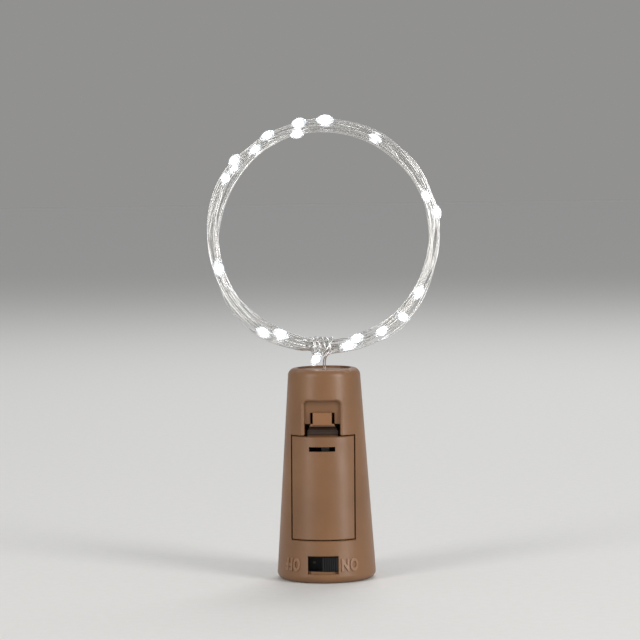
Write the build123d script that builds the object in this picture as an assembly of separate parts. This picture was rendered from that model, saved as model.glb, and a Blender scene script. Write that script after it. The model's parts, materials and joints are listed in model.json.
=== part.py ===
"""Cork bottle light: a tapered cork shaped battery holder with a string of light beads wound into a ring.

Millimetres. The origin is the centre of the underside, +Z is up, the battery cover faces -Y.
The cork stands on its wide end, and the string leaves the middle of its narrow end.
"""
from build123d import *
import os
from math import cos, hypot, pi, radians, sin, sqrt, tan

# Cork
BODY_HEIGHT = 54.0
BASE_RADIUS = 12.75
TOP_RADIUS = 9.15
WALL = 1.2
TOP_EDGE_RADIUS = 1.9
TOP_RECESS_RADIUS = 6.9
TOP_RECESS_DEPTH = 0.5
TOP_WALL = 1.2
WIRE_HOLE_RADIUS = 0.7

# Base cap
CAP_HEIGHT = 1.9
CAP_FLOOR = 1.2
BASE_EDGE_RADIUS = 1.7
SPIGOT_HEIGHT = 1.0
SPIGOT_WALL = 0.6
SPIGOT_GAP = 0.05

# Battery cover and its opening
COVER_LOW = 11.05
COVER_WIDTH = 15.8
COVER_WALL = 1.2
SEAM = 0.25
OPENING_MARGIN = 3.05
SEAM_CHAMFER = 0.2
NAIL_SLOT_WIDTH = 6.7
NAIL_SLOT_HEIGHT = 1.2
NAIL_SLOT_TOP_DROP = 2.5
LUG_WIDTH = 2.0
LUG_OFFSET = 5.0
LUG_DROP = 1.3
LUG_ROOT = 1.6
LUG_WALL = 1.0
LUG_GAP = 0.3
LUG_BITE = 0.6

# Latch recess above the cover; the share is the part of the spare height that lies above it
RECESS_WIDTH = 9.1
RECESS_HEIGHT = 9.1
TOP_BAND_SHARE = 0.54
RECESS_CORNER = 1.2
RECESS_EDGE_RADIUS = 0.5
RECESS_WALL = 0.9
PANEL_SINK = 2.2
PANEL_THICKNESS = 0.9
PANEL_RISE = 3.15
NOTCH_WIDTH = 6.2
NOTCH_RISE = 6.0
RECESS_LAP = 0.15

# Latch, a strip bent to a U that opens to the front
STRIP = 0.7
BEND_INNER_RADIUS = 1.25
BEND_WIDTH = 7.75
BEND_STEP = 0.25
BEND_SHOULDER = 0.95
BEND_SETBACK = 0.5
PAD_WIDTH = 4.85
PAD_HEIGHT = 3.3
PAD_LIFT = 0.3
PAD_THICKNESS = 0.65
PAD_EDGE_RADIUS = 0.25
PAD_BACK_GAP = 0.35
CATCH_HEIGHT = 0.7
CATCH_DROP = 0.5
CATCH_REACH = 1.5
KNUCKLE_GAP = 0.03

# Button cells, stacked along the cork
CELL_COUNT = 3
CELL_RADIUS = 5.8
CELL_HEIGHT = 5.4
CELL_EDGE_RADIUS = 0.5
CELL_CRIMP_HEIGHT = 0.3
CELL_POCKET_RADIUS = 5.2
CELL_CAP_RADIUS = 4.6
CELL_CAP_DEPTH = 1.2
CELL_CAP_EDGE_RADIUS = 0.3
CELL_FRONT_GAP = 0.95

# Battery tray
TRAY_FLOOR_LOW = 7.9
TRAY_FLOOR = 1.3
TRAY_GAP = 0.05
CRADLE_GAP = 0.2
CRADLE_WALL = 1.0
CRADLE_GRIP = 1.5
TRAY_TOP_WALL = 1.2
TRAY_TOP_GAP = 0.4
LEAD_HOLE_PLACE = (-2.4, 6.8)
LEAD_HOLE_RADIUS = 0.8
POST_GRIP = 0.7
POST_SIDE = 0.5
POST_FRONT_LAP = 0.7
POST_BACK_LAP = 1.0
POST_LOW = 3.1
GROOVE_GAP = 0.05

# Contacts
PLATE = 0.3
PLATE_SIZE = 8.0
TAB_WIDTH = 2.0
TAB_LENGTH = 2.3
SLOT_GAP = 0.1
DIMPLE_RADIUS = 1.6
DIMPLE_HEIGHT = 0.3
SPRING_LENGTH = 4.5
SPRING_WIRE = 0.5
SPRING_BASE_RADIUS = 3.3
SPRING_TIP_RADIUS = 1.9
SPRING_TURNS = 4.0
SPRING_END_GAP = 0.05

# Circuit board and resistor
BOARD_SIDE_INSET = 5.6
BOARD_LOW = 2.0
BOARD_HIGH = 7.7
BOARD_THICKNESS = 1.0
BOARD_SINK = 5.3
RESISTOR_LENGTH = 2.0
RESISTOR_WIDTH = 1.25
RESISTOR_HEIGHT = 0.6
RESISTOR_INSET = 2.3
RESISTOR_DROP = 1.6

# Slide switch and its window
WINDOW_WIDTH = 7.8
WINDOW_LOW = 2.4
WINDOW_HIGH = 6.9
SWITCH_Z = 4.85
SWITCH_WIDTH = 8.4
SWITCH_HEIGHT = 4.9
SWITCH_DEPTH = 2.7
SWITCH_FLOOR = 0.8
SWITCH_LIP = 0.4
SWITCH_TRAVEL = 3.6
KNOB_WIDTH = 3.9
KNOB_HEIGHT = 3.5
KNOB_REACH = 1.7
KNOB_RIBS = 7
KNOB_GROOVE = 0.25
FLANGE_HEIGHT = 4.0
FLANGE_THICKNESS = 0.8
SLIDE_GAP = 0.1
WIPER_WIDTH = 3.0
WIPER_HEIGHT = 1.2
WIPER_SHEET = 0.2
WIPER_BUMP_RADIUS = 0.4
PIN_COUNT = 3
PIN_PITCH = 2.5
PIN_WIDTH = 0.8
PIN_THICKNESS = 0.5
PIN_REACH = 1.0

# Light string: a pair of thin wires, drawn as one round wire of the pair's width
WIRE = 0.7
LEAD_WIRE = 0.8
EXIT_X = 0.1
RING_RADIUS = 28.3
RING_LIFT = 3.5
COIL_LAYERS = 4
COIL_PITCH = 1.2
COIL_TURNS = 10.94
COIL_START_ANGLE = 8.0
SPANS_PER_LAYER = 11
TAIL_RUN_IN = 1.1
WRAP_RADIUS = 3.26
WRAP_PITCH = 1.15
WRAP_TURNS = 2.55
WRAP_START_X = -3.7
WRAP_START_ANGLE = -20.0
SPANS_PER_WRAP = 4

# Light beads and their chips
BEAD_LENGTH = 3.8
BEAD_RADIUS = 1.2
BEAD_GAP = 0.12
CHIP_LENGTH = 1.0
CHIP_WIDTH = 0.55
CHIP_THICKNESS = 0.25
CHIP_GAP = 0.03
BEAD_ANGLES = [
    196, 392, 589, 822, 1007, 1231, 1417, 1629, 1818, 2008,
    2205, 2399, 2630, 2847, 3058, 3252, 3457, 3659, 3832,
]
HANGING_BEAD_PLACE = (-1.3, -3.95)
HANGING_BEAD_DROP = 2.09
HANGING_DIRECTION = (-0.55, -0.12, -0.83)

# Glue plug that holds the string in the top
GLUE_RADIUS = 2.6
GLUE_DEPTH = 2.2
GLUE_EDGE_RADIUS = 1.3
GLUE_STUD_DROP = 0.2

# Wire paths: share of a run that each arc uses, points measured on each arc,
# wire widths along the path that count as the same stretch, and a step in turns
ARC_SHARE = 0.45
EDGE_SAMPLES = 5
OWN_STRETCH = 8
TURN_STEP = 0.00001

# Cuts run past a surface by the overrun, and a hair separates faces that would coincide
OVERRUN = 1.0
HAIR = 0.01
UPRIGHT = (Align.CENTER, Align.CENTER, Align.MIN)
CORNER = (Align.MIN, Align.MIN, Align.MIN)
ALONG_X = Rot(0, 90, 0)
ALONG_Y = Rot(90, 0, 0)


def outer_radius(height):
    """Radius of the cork's outside at a height above its base."""
    return BASE_RADIUS + (TOP_RADIUS - BASE_RADIUS) * height / BODY_HEIGHT


def taper(inset, low, high):
    """Solid slice of the cork that lies inset inside its outer surface."""
    slice_height = high - low
    cone = Cone(outer_radius(low) - inset, outer_radius(high) - inset, slice_height, align=UPRIGHT)
    return Pos(0, 0, low) * cone


def block(x_range, y_range, z_range):
    """Box between two values along each axis."""
    sizes = [high - low for low, high in (x_range, y_range, z_range)]
    return Pos(x_range[0], y_range[0], z_range[0]) * Box(*sizes, align=CORNER)


def middle(half, centre=0.0):
    """Range that is centred on a value."""
    return (centre - half, centre + half)


def save(name, shape):
    """Write one sub-part as a STEP file."""
    shape.label = name
    export_step(shape, f"parts/{name}.step")


# Places worked out from the sizes
FRONT = -(BASE_RADIUS + OVERRUN)
CAVITY_TOP = BODY_HEIGHT - TOP_RECESS_DEPTH - TOP_WALL
TRAY_FLOOR_TOP = TRAY_FLOOR_LOW + TRAY_FLOOR
CELLS_LOW = TRAY_FLOOR_TOP + PLATE + SPRING_LENGTH
CELLS_HIGH = CELLS_LOW + CELL_COUNT * CELL_HEIGHT
CELLS_Y = -(outer_radius(CELLS_HIGH) - COVER_WALL - CELL_FRONT_GAP - CELL_RADIUS)
TAB_Y = CELLS_Y + PLATE_SIZE / 2 - PLATE
TRAY_TOP_LOW = CELLS_HIGH + DIMPLE_HEIGHT + PLATE
TRAY_TOP_HIGH = TRAY_TOP_LOW + TRAY_TOP_WALL
SPARE_HEIGHT = BODY_HEIGHT - TOP_EDGE_RADIUS - TRAY_TOP_HIGH - RECESS_HEIGHT
RECESS_TOP = BODY_HEIGHT - TOP_EDGE_RADIUS - TOP_BAND_SHARE * SPARE_HEIGHT
COVER_HIGH = RECESS_TOP - RECESS_HEIGHT
PANEL_LOW = COVER_HIGH + PANEL_RISE
NOTCH_TOP = COVER_HIGH + NOTCH_RISE
PANEL_FRONT = PANEL_SINK - outer_radius(RECESS_TOP)
PANEL_BACK = PANEL_FRONT + PANEL_THICKNESS
OPENING_LOW = COVER_LOW - SEAM
OPENING_HIGH = COVER_HIGH + SEAM
OPENING_HALF = COVER_WIDTH / 2 + SEAM
OPENING_BACK = OPENING_MARGIN - sqrt(outer_radius(OPENING_HIGH) ** 2 - OPENING_HALF ** 2)
BEND_OUTER_RADIUS = BEND_INNER_RADIUS + STRIP
BEND_Z = COVER_HIGH + BEND_INNER_RADIUS
PAD_BACK = PANEL_FRONT - PAD_BACK_GAP
BEND_Y = PAD_BACK - BEND_SETBACK
PIVOT_Y = BEND_Y + BEND_INNER_RADIUS + STRIP / 2
PAD_LOW = BEND_Z + BEND_INNER_RADIUS + PAD_LIFT
PAD_TOP = PAD_LOW + PAD_HEIGHT
BOARD_WIDTH = 2 * (BASE_RADIUS - BOARD_SIDE_INSET)
BOARD_FRONT = BOARD_SINK - outer_radius(SWITCH_Z)
BOARD_BACK = BOARD_FRONT + BOARD_THICKNESS
SWITCH_FRONT = BOARD_FRONT - SWITCH_DEPTH
WINDOW_BACK = SWITCH_FRONT + OVERRUN
SWITCH_SLOT_BACK = BOARD_FRONT - SWITCH_FLOOR
FLANGE_FRONT = SWITCH_FRONT + SWITCH_LIP + SLIDE_GAP
FLANGE_BACK = FLANGE_FRONT + FLANGE_THICKNESS
KNOB_FRONT = SWITCH_FRONT - KNOB_REACH
KNOB_X = SWITCH_TRAVEL / 2
PIN_XS = [(index - (PIN_COUNT - 1) / 2) * PIN_PITCH for index in range(PIN_COUNT)]
TURNS_PER_LAYER = COIL_TURNS / COIL_LAYERS
SPAN = TURNS_PER_LAYER / SPANS_PER_LAYER
COIL_OUTER = RING_RADIUS + COIL_PITCH * TURNS_PER_LAYER / 2
RING_Z = BODY_HEIGHT + RING_LIFT + WIRE / 2 + COIL_OUTER
BUNDLE_Z = RING_Z - RING_RADIUS
EXIT_Z = BODY_HEIGHT - TOP_RECESS_DEPTH - GLUE_STUD_DROP
HANGING_BEAD = (*HANGING_BEAD_PLACE, BUNDLE_Z - HANGING_BEAD_DROP)


def surface_edges(shape, x_half, z_range):
    """Edges of a cut that lie on the cork's front surface within a window."""
    chosen = []
    for edge in shape.edges():
        place = edge @ 0.5
        on_surface = abs(hypot(place.X, place.Y) - outer_radius(place.Z)) < HAIR
        in_window = abs(place.X) < x_half and z_range[0] < place.Z < z_range[1]
        if on_surface and in_window and place.Y < 0:
            chosen.append(edge)
    return chosen


def recess_cut():
    """Cut for the latch recess: a window with two rounded upper corners."""
    cut = block(middle(RECESS_WIDTH / 2), (FRONT, PANEL_FRONT), (COVER_HIGH - OVERRUN, RECESS_TOP))
    upper_corners = cut.edges().filter_by(Axis.Y).sort_by(Axis.Z)[-2:]
    return fillet(upper_corners, RECESS_CORNER)


def make_housing():
    """Tapered shell with the latch recess, the cover opening, the switch window and the wire hole."""
    outside = taper(0, CAP_HEIGHT, BODY_HEIGHT)
    outside = fillet(outside.edges().sort_by(Axis.Z)[-1:], TOP_EDGE_RADIUS)
    solid = outside - recess_cut()
    rim = surface_edges(solid, RECESS_WIDTH / 2 + HAIR, (COVER_HIGH, RECESS_TOP + HAIR))
    solid = fillet(rim, RECESS_EDGE_RADIUS)
    solid -= block(middle(OPENING_HALF), (FRONT, OPENING_BACK), (OPENING_LOW, OPENING_HIGH))
    solid -= block(middle(WINDOW_WIDTH / 2), (FRONT, WINDOW_BACK), (WINDOW_LOW, WINDOW_HIGH))
    seam_edges = surface_edges(solid, OPENING_HALF + HAIR, (CAP_HEIGHT + HAIR, OPENING_HIGH + HAIR))
    solid = chamfer(seam_edges, SEAM_CHAMFER)
    recess_half = RECESS_WIDTH / 2 + RECESS_WALL
    recess_low = OPENING_HIGH + RECESS_LAP
    recess_walls = block(middle(recess_half), (FRONT, PANEL_BACK), (recess_low, RECESS_TOP + RECESS_WALL))
    shell = solid - (taper(WALL, CAP_HEIGHT, CAVITY_TOP) - recess_walls)
    shell -= block(middle(RECESS_WIDTH / 2), (FRONT, PANEL_BACK), (COVER_HIGH, PANEL_LOW))
    shell -= block(middle(NOTCH_WIDTH / 2), (PANEL_FRONT - HAIR, PANEL_BACK), (PANEL_LOW - HAIR, NOTCH_TOP))
    recess_floor = BODY_HEIGHT - TOP_RECESS_DEPTH
    shell -= Pos(0, 0, recess_floor) * Cylinder(TOP_RECESS_RADIUS, BODY_HEIGHT, align=UPRIGHT)
    shell -= Pos(EXIT_X, 0, 0) * Cylinder(WIRE_HOLE_RADIUS, BODY_HEIGHT + OVERRUN, align=UPRIGHT)
    return shell


def make_base_cap():
    """Rounded cap that closes the wide end, with a spigot inside the shell."""
    cap = taper(0, 0, CAP_HEIGHT)
    cap = fillet(cap.edges().sort_by(Axis.Z)[:1], BASE_EDGE_RADIUS)
    inset = WALL + SPIGOT_GAP
    cap += taper(inset, CAP_HEIGHT, CAP_HEIGHT + SPIGOT_HEIGHT)
    return cap - taper(inset + SPIGOT_WALL, CAP_FLOOR, CAP_HEIGHT + SPIGOT_HEIGHT + HAIR)


def make_battery_tray():
    """Moulded insert: cradle, floor and top wall for the cells, posts for the board."""
    floor = taper(WALL + TRAY_GAP, TRAY_FLOOR_LOW, TRAY_FLOOR_TOP)
    top_wall = taper(WALL + TRAY_TOP_GAP, TRAY_TOP_LOW, TRAY_TOP_HIGH)
    inner = CELL_RADIUS + CRADLE_GAP
    cradle_height = TRAY_TOP_LOW - TRAY_FLOOR_TOP
    tube_wall = Cylinder(inner + CRADLE_WALL, cradle_height, align=UPRIGHT)
    tube_wall -= Cylinder(inner, cradle_height, align=UPRIGHT)
    cradle = Pos(0, CELLS_Y, TRAY_FLOOR_TOP) * tube_wall
    cradle &= block(middle(BASE_RADIUS), (CELLS_Y - CRADLE_GRIP, BASE_RADIUS), (0, BODY_HEIGHT))
    tray = floor + cradle + top_wall
    board_half = BOARD_WIDTH / 2 + GROOVE_GAP
    for side in (-1, 1):
        inner_x = side * (BOARD_WIDTH / 2 - POST_GRIP)
        outer_x = side * (BOARD_WIDTH / 2 + POST_SIDE)
        x_range = sorted((inner_x, outer_x))
        y_range = (BOARD_FRONT - POST_FRONT_LAP, BOARD_BACK + POST_BACK_LAP)
        tray += block(x_range, y_range, (POST_LOW, TRAY_FLOOR_LOW))
    groove = (BOARD_FRONT - GROOVE_GAP, BOARD_BACK + GROOVE_GAP)
    tray -= block(middle(board_half), groove, (0, BOARD_HIGH + GROOVE_GAP))
    tab_x = middle(TAB_WIDTH / 2 + SLOT_GAP)
    tab_y = (TAB_Y - SLOT_GAP, TAB_Y + PLATE + SLOT_GAP)
    tray -= block(tab_x, tab_y, (0, TRAY_FLOOR_TOP))
    tray -= block(tab_x, tab_y, (TRAY_TOP_LOW, BODY_HEIGHT))
    tray -= Pos(*LEAD_HOLE_PLACE, 0) * Cylinder(LEAD_HOLE_RADIUS, BODY_HEIGHT, align=UPRIGHT)
    return tray


def bend_quarter(half_width, z_range):
    """Upper or lower quarter of the latch's bend, on its rear side."""
    ring = Cylinder(BEND_OUTER_RADIUS, 2 * half_width) - Cylinder(BEND_INNER_RADIUS, 2 * half_width)
    ring = Pos(0, BEND_Y, BEND_Z) * ALONG_X * ring
    return ring & block(middle(half_width), (BEND_Y, BEND_Y + BEND_OUTER_RADIUS), z_range)


def make_battery_cover():
    """Curved cover with its nail slot, two lugs at the bottom and the lower half of the latch's bend."""
    half = COVER_WIDTH / 2
    cover = taper(0, COVER_LOW, COVER_HIGH) - taper(COVER_WALL, COVER_LOW, COVER_HIGH)
    cover &= block(middle(half), (FRONT, OPENING_BACK - SEAM), (COVER_LOW, COVER_HIGH))
    cover = chamfer(surface_edges(cover, half + HAIR, (0, BODY_HEIGHT)), SEAM_CHAMFER)
    slot_top = COVER_HIGH - NAIL_SLOT_TOP_DROP
    cover -= block(middle(NAIL_SLOT_WIDTH / 2), (FRONT, 0), (slot_top - NAIL_SLOT_HEIGHT, slot_top))
    hook_inset = WALL + LUG_GAP
    hook_range = (COVER_LOW - LUG_DROP, COVER_LOW + LUG_ROOT)
    hook = taper(hook_inset, *hook_range) - taper(hook_inset + LUG_WALL, *hook_range)
    root_range = (COVER_LOW, COVER_LOW + LUG_ROOT)
    root = taper(COVER_WALL - LUG_BITE, *root_range) - taper(hook_inset + LUG_WALL, *root_range)
    for side in (-1, 1):
        x_range = middle(LUG_WIDTH / 2, side * LUG_OFFSET)
        cover += (hook + root) & block(x_range, (FRONT, 0), hook_range)
    bend_half = BEND_WIDTH / 2
    bend_low = BEND_Z - BEND_OUTER_RADIUS
    leg = block(middle(bend_half), (FRONT, BEND_Y), (bend_low, bend_low + STRIP))
    cover += leg & taper(LUG_BITE, bend_low, bend_low + STRIP)
    cover += bend_quarter(bend_half, (bend_low, BEND_Z))
    knuckle = Cylinder(STRIP / 2 + KNUCKLE_GAP, BEND_WIDTH + OVERRUN)
    return cover - Pos(0, PIVOT_Y, BEND_Z) * ALONG_X * knuckle


def bend_shoulders():
    """Space that narrows the bend's upper quarter towards the thumb pad."""
    low_half = BEND_WIDTH / 2 - BEND_STEP
    high_half = BEND_WIDTH / 2 - BEND_SHOULDER
    shoulder = BEND_Z + STRIP
    high = BEND_Z + BEND_OUTER_RADIUS
    right = [(low_half, BEND_Z), (low_half, shoulder), (high_half, high)]
    left = [(-x, z) for x, z in reversed(right)]
    return extrude(Plane.XZ * Polygon(*right, *left, align=None), amount=BASE_RADIUS)


def make_cover_latch():
    """Upper half of the latch's bend, with the thumb pad and the catch behind it."""
    half = PAD_WIDTH / 2
    pad = block(middle(half), (PAD_BACK - PAD_THICKNESS, PAD_BACK), (PAD_LOW, PAD_TOP))
    front_edges = pad.faces().sort_by(Axis.Y)[0].edges()
    pad = fillet(front_edges, PAD_EDGE_RADIUS)
    catch_top = NOTCH_TOP - CATCH_DROP
    catch_y = (PAD_BACK - HAIR, PAD_BACK + CATCH_REACH)
    pad += block(middle(half), catch_y, (catch_top - CATCH_HEIGHT, catch_top))
    upper_quarter = bend_quarter(BEND_WIDTH / 2, (BEND_Z, BEND_Z + BEND_OUTER_RADIUS))
    pad += upper_quarter & bend_shoulders()
    knuckle = Cylinder(STRIP / 2, BEND_WIDTH)
    return pad + Pos(0, PIVOT_Y, BEND_Z) * ALONG_X * knuckle


def make_cell_can(low):
    """Steel can of one cell, open at its lower side for the gasket and cap."""
    can = Cylinder(CELL_RADIUS, CELL_HEIGHT - CELL_CRIMP_HEIGHT, align=UPRIGHT)
    can = fillet(can.edges().filter_by(GeomType.CIRCLE), CELL_EDGE_RADIUS)
    can = Pos(0, CELLS_Y, low + CELL_CRIMP_HEIGHT) * can
    return can - Pos(0, CELLS_Y, low) * Cylinder(CELL_POCKET_RADIUS, CELL_CAP_DEPTH, align=UPRIGHT)


def make_cell_gasket(low):
    """Ring that insulates one cell's cap from its can."""
    height = CELL_CAP_DEPTH - CELL_CRIMP_HEIGHT / 2
    ring = Cylinder(CELL_POCKET_RADIUS, height, align=UPRIGHT)
    ring -= Cylinder(CELL_CAP_RADIUS, height, align=UPRIGHT)
    return Pos(0, CELLS_Y, low + CELL_CRIMP_HEIGHT / 2) * ring


def make_cell_cap(low):
    """Negative cap of one cell."""
    cap = Cylinder(CELL_CAP_RADIUS, CELL_CAP_DEPTH, align=UPRIGHT)
    cap = fillet(cap.edges().sort_by(Axis.Z)[:1], CELL_CAP_EDGE_RADIUS)
    return Pos(0, CELLS_Y, low) * cap


def make_negative_plate():
    """Plate under the spring, with a tab through the tray's floor."""
    half = PLATE_SIZE / 2
    plate = block(middle(half), middle(half, CELLS_Y), (TRAY_FLOOR_TOP, TRAY_FLOOR_TOP + PLATE))
    tab_range = (TRAY_FLOOR_LOW - TAB_LENGTH / 2, TRAY_FLOOR_TOP + PLATE)
    return plate + block(middle(TAB_WIDTH / 2), (TAB_Y, TAB_Y + PLATE), tab_range)


def make_positive_contact():
    """Plate over the cells, with a pressed dimple and a tab through the tray's top wall."""
    half = PLATE_SIZE / 2
    low = CELLS_HIGH + DIMPLE_HEIGHT
    contact = block(middle(half), middle(half, CELLS_Y), (low, low + PLATE))
    contact += Pos(0, CELLS_Y, CELLS_HIGH) * Cylinder(DIMPLE_RADIUS, DIMPLE_HEIGHT, align=UPRIGHT)
    tab_range = (low, TRAY_TOP_HIGH + TAB_LENGTH)
    return contact + block(middle(TAB_WIDTH / 2), (TAB_Y, TAB_Y + PLATE), tab_range)


def make_circuit_board():
    """Board behind the switch, with a slot for each pin."""
    board = block(middle(BOARD_WIDTH / 2), (BOARD_FRONT, BOARD_BACK), (BOARD_LOW, BOARD_HIGH))
    for x in PIN_XS:
        slot_x = middle(PIN_WIDTH / 2 + SLOT_GAP, x)
        board -= block(slot_x, (BOARD_FRONT, BOARD_BACK), middle(PIN_THICKNESS / 2 + SLOT_GAP, SWITCH_Z))
    return board


def make_resistor():
    """Chip resistor on the rear of the board."""
    x_range = middle(RESISTOR_LENGTH / 2, BOARD_WIDTH / 2 - RESISTOR_INSET)
    z_range = middle(RESISTOR_WIDTH / 2, SWITCH_Z - RESISTOR_DROP)
    return block(x_range, (BOARD_BACK, BOARD_BACK + RESISTOR_HEIGHT), z_range)


def make_switch_body():
    """Black switch body: a tray for the slider, with a lip that keeps the slider in."""
    body = block(middle(SWITCH_WIDTH / 2), (SWITCH_FRONT, BOARD_FRONT), middle(SWITCH_HEIGHT / 2, SWITCH_Z))
    slot_half = KNOB_WIDTH / 2 + SWITCH_TRAVEL / 2 + SLIDE_GAP
    inside = middle(FLANGE_HEIGHT / 2 + SLIDE_GAP, SWITCH_Z)
    body -= block(middle(slot_half), (SWITCH_FRONT + SWITCH_LIP, SWITCH_SLOT_BACK), inside)
    mouth = middle(KNOB_HEIGHT / 2 + SLIDE_GAP, SWITCH_Z)
    body -= block(middle(slot_half), (SWITCH_FRONT, SWITCH_SLOT_BACK), mouth)
    for x in PIN_XS:
        pin_z = middle(PIN_THICKNESS / 2, SWITCH_Z)
        body -= block(middle(PIN_WIDTH / 2, x), (SWITCH_SLOT_BACK, BOARD_FRONT), pin_z)
    return body


def make_switch_slider():
    """Ribbed slider, shown at its ON end, with the flange that the lip holds."""
    half = KNOB_WIDTH / 2
    flange = block(middle(half, KNOB_X), (FLANGE_FRONT, FLANGE_BACK), middle(FLANGE_HEIGHT / 2, SWITCH_Z))
    knob_z = middle(KNOB_HEIGHT / 2, SWITCH_Z)
    slider = flange + block(middle(half, KNOB_X), (KNOB_FRONT, FLANGE_BACK), knob_z)
    pitch = KNOB_WIDTH / KNOB_RIBS
    for index in range(1, KNOB_RIBS):
        groove_x = middle(KNOB_GROOVE / 2, KNOB_X - half + index * pitch)
        slider -= block(groove_x, (KNOB_FRONT, KNOB_FRONT + KNOB_GROOVE), knob_z)
    return slider


def make_switch_wiper():
    """Contact clip behind the slider, with two bumps that bridge a pair of pins."""
    x_range = middle(WIPER_WIDTH / 2, KNOB_X)
    clip = block(x_range, (FLANGE_BACK, FLANGE_BACK + WIPER_SHEET), middle(WIPER_HEIGHT / 2, SWITCH_Z))
    bump_reach = SWITCH_SLOT_BACK - FLANGE_BACK - SLIDE_GAP / 2
    for side in (-1, 1):
        bump_x = KNOB_X + side * (WIPER_WIDTH / 2 - WIPER_BUMP_RADIUS)
        bump = Cylinder(WIPER_BUMP_RADIUS, bump_reach, align=UPRIGHT)
        clip += Pos(bump_x, FLANGE_BACK + bump_reach, SWITCH_Z) * ALONG_Y * bump
    return clip


def make_switch_pins():
    """Three pins, moulded into the switch body and soldered through the board."""
    pins = Part()
    for x in PIN_XS:
        pin_z = middle(PIN_THICKNESS / 2, SWITCH_Z)
        pins += block(middle(PIN_WIDTH / 2, x), (SWITCH_SLOT_BACK, BOARD_BACK + PIN_REACH), pin_z)
    return pins


def make_wire_glue():
    """Blob of glue under the top wall, with a stud in the wire hole."""
    blob = Pos(0, 0, CAVITY_TOP - GLUE_DEPTH) * Cylinder(GLUE_RADIUS, GLUE_DEPTH, align=UPRIGHT)
    blob = fillet(blob.edges().sort_by(Axis.Z)[:1], GLUE_EDGE_RADIUS)
    stud = Pos(EXIT_X, 0, CAVITY_TOP) * Cylinder(WIRE_HOLE_RADIUS, EXIT_Z - CAVITY_TOP, align=UPRIGHT)
    return blob + stud


def swept(path, diameter):
    """Round wire along a path."""
    return sweep(Plane(origin=path @ 0, z_dir=path % 0) * Circle(diameter / 2), path=path)


def check_volume(name, solid, path, diameter):
    """Print how well a wire's volume agrees with its section times its length."""
    expected = path.length * pi * diameter ** 2 / 4
    share = solid.volume / expected
    print(f"{name}: length {path.length:.1f} mm, volume {share:.4f} of section times length")


def route(name, points):
    """Path of straight runs joined by arcs as large as the runs allow."""
    places = [Vector(*point) for point in points]
    radii = []
    for before, corner, after in zip(places, places[1:], places[2:]):
        turn = radians((corner - before).get_angle(after - corner))
        shorter = min((corner - before).length, (after - corner).length)
        radii.append(ARC_SHARE * shorter / tan(turn / 2))
    print(f"{name}: radii", ", ".join(f"{radius:.2f}" for radius in radii))
    return FilletPolyline(*places, radius=radii).wire()


def biarc(start, start_way, end, end_way):
    """Two arcs that join two points, tangent to a direction at each."""
    chord = end - start
    ways = start_way + end_way
    spread = 2 * (1 - start_way.dot(end_way))
    along = chord.dot(ways)
    reach = chord.dot(chord) / (along + sqrt(along ** 2 + spread * chord.dot(chord)))
    first_control = start + start_way * reach
    second_control = end - end_way * reach
    joint = (first_control + second_control) * 0.5
    joint_way = (second_control - first_control).normalized()
    first = TangentArc(start, joint, tangent=start_way)
    second = TangentArc(joint, end, tangent=joint_way)
    return [first.edge(), second.edge()]


def direction_of(place, turns):
    """Direction of a winding at a number of turns."""
    return (place(turns + TURN_STEP) - place(turns - TURN_STEP)).normalized()


def wound(place, stops):
    """Edges of a winding through its stops, with the place and direction where it ends."""
    spots = [place(turns) for turns in stops]
    ways = [direction_of(place, turns) for turns in stops]
    edges = []
    for index in range(len(stops) - 1):
        edges += biarc(spots[index], ways[index], spots[index + 1], ways[index + 1])
    return edges, spots[-1], ways[-1]


def with_leads(place, stops, lead):
    """Edges of a winding that starts and ends with a straight lead."""
    edges, end, end_way = wound(place, stops)
    start_way = direction_of(place, stops[0])
    first = Line(place(stops[0]) - start_way * lead, place(stops[0])).edge()
    last = Line(end, end + end_way * lead).edge()
    return [first, *edges, last]


def least_gap(name, edges, diameter):
    """Print the least gap between a winding's wire and itself, measured on points."""
    samples = [edge @ (step / EDGE_SAMPLES) for edge in edges for step in range(EDGE_SAMPLES)]
    travel = [0.0]
    for before, after in zip(samples, samples[1:]):
        travel.append(travel[-1] + (after - before).length)
    nearest = min(
        (samples[j] - samples[i]).length
        for i in range(len(samples))
        for j in range(i + 1, len(samples))
        if travel[j] - travel[i] > OWN_STRETCH * diameter
    )
    print(f"{name}: least gap to itself {nearest - diameter:.2f} mm")


def spring_place(turns):
    """Centre line of the conical contact spring."""
    share = turns / SPRING_TURNS
    radius = SPRING_BASE_RADIUS + (SPRING_TIP_RADIUS - SPRING_BASE_RADIUS) * share
    low = TRAY_FLOOR_TOP + PLATE + SPRING_WIRE / 2 + SPRING_END_GAP
    rise = SPRING_LENGTH - SPRING_WIRE - 2 * SPRING_END_GAP
    angle = 2 * pi * turns
    return Vector(radius * cos(angle), CELLS_Y + radius * sin(angle), low + rise * share)


def make_negative_spring():
    """Conical spring that presses the cells against the positive contact."""
    quarter_turns = int(4 * SPRING_TURNS)
    stops = [index / 4 for index in range(quarter_turns + 1)]
    edges = with_leads(spring_place, stops, SPRING_WIRE / 2)
    least_gap("negative_spring", edges, SPRING_WIRE)
    path = Wire(edges)
    spring = swept(path, SPRING_WIRE)
    check_volume("negative_spring", spring, path, SPRING_WIRE)
    return spring


def nearest_reversal(turns):
    """Distance in turns from the closest place where the spiral reverses."""
    reversals = [index * TURNS_PER_LAYER for index in range(1, COIL_LAYERS)]
    return min(abs(turns - reversal) for reversal in reversals)


def turns_inward(turns):
    """How many turns the spiral has wound in from the outer radius, with soft reversals."""
    reach = turns % (2 * TURNS_PER_LAYER)
    inward = min(reach, 2 * TURNS_PER_LAYER - reach)
    offset = nearest_reversal(turns)
    if offset >= SPAN:
        return inward
    soft = SPAN / 2 + offset ** 2 / (2 * SPAN)
    return soft if inward < SPAN + HAIR else TURNS_PER_LAYER - soft


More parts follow.
